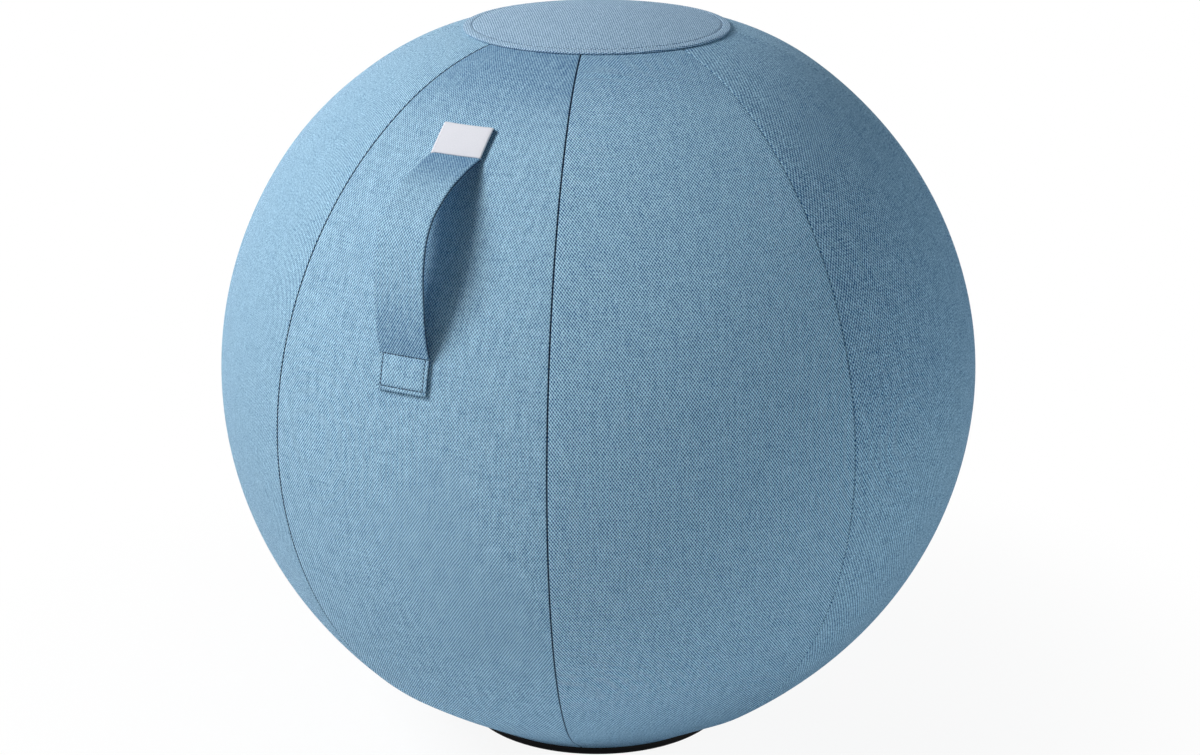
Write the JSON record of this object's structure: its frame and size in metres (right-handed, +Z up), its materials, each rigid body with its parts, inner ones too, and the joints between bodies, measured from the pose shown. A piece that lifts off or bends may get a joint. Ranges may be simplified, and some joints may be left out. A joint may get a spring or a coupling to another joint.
{
  "type": "sitting ball",
  "caption": "Round sitting ball: an inflated inner ball in a zipped fabric cover of sewn gores, with a flat seat disc, a carry handle and a weighted ring in the base.",
  "frame": {"origin": "centre of the base on the floor", "axes": "+Z up along the ball's axis, the handle faces -Y, +X to the handle's right"},
  "size_m": [0.6498, 0.6498, 0.6307],
  "materials": {
    "cover_fabric": "blue melange twill",
    "lining_fabric": "plain weave",
    "base_fabric": "black coated weave",
    "label_fabric": "woven label",
    "ring_weight": "matte",
    "zip_tape": "fine twill tape",
    "zip_teeth": "moulded",
    "zip_metal": "satin black",
    "inner_ball_skin": "soft satin",
    "valve_plastic": "moulded"
  },
  "bodies": {
    "ball": {"front_gore": "cover_fabric", "front_right_gore": "cover_fabric", "right_gore": "cover_fabric", "rear_right_gore": "cover_fabric", "rear_gore": "cover_fabric", "rear_left_gore": "cover_fabric", "left_gore": "cover_fabric", "front_left_gore": "cover_fabric", "top_disc": "cover_fabric", "top_disc_lining": "lining_fabric", "base_cup": "base_fabric", "ring_casing": "base_fabric", "base_ring": "ring_weight", "handle_upper_end": "cover_fabric", "handle_lower_end": "cover_fabric", "upper_inner_patch": "lining_fabric", "lower_inner_patch": "lining_fabric", "label": "label_fabric", "zip_tape_left": "zip_tape", "zip_tape_right": "zip_tape", "zip_teeth_left": "zip_teeth", "zip_teeth_right": "zip_teeth", "zip_top_stops": "zip_teeth", "zip_bottom_stop": "zip_teeth", "zip_guard": "lining_fabric", "inner_ball": "inner_ball_skin", "valve_seat": "valve_plastic", "valve_plug": "valve_plastic"},
    "handle": {"handle_face": "cover_fabric", "handle_lining": "cover_fabric"},
    "slider": {"zip_slider": "zip_metal"},
    "pull": {"zip_pull": "zip_metal"}
  },
  "joints": [
    {"name": "handle_lift", "type": "slide", "parent": "ball", "child": "handle", "axis": [0, -0.8453, 0.5344], "range_m": [0, 0.008], "stiffness_N_per_m": 300},
    {"name": "zip_run", "type": "hinge", "parent": "ball", "child": "slider", "pos_m": [0, 0, 0.316], "axis": [-0.9239, -0.3827, 0], "range_deg": [0, 54], "deforming": ["zip_teeth_left", "zip_teeth_right"]},
    {"name": "pull_swing", "type": "hinge", "parent": "slider", "child": "pull", "pos_m": [-0.12548, 0.30294, 0.316], "axis": [0.9239, 0.3827, 0], "range_deg": [0, 170]}
  ]
}
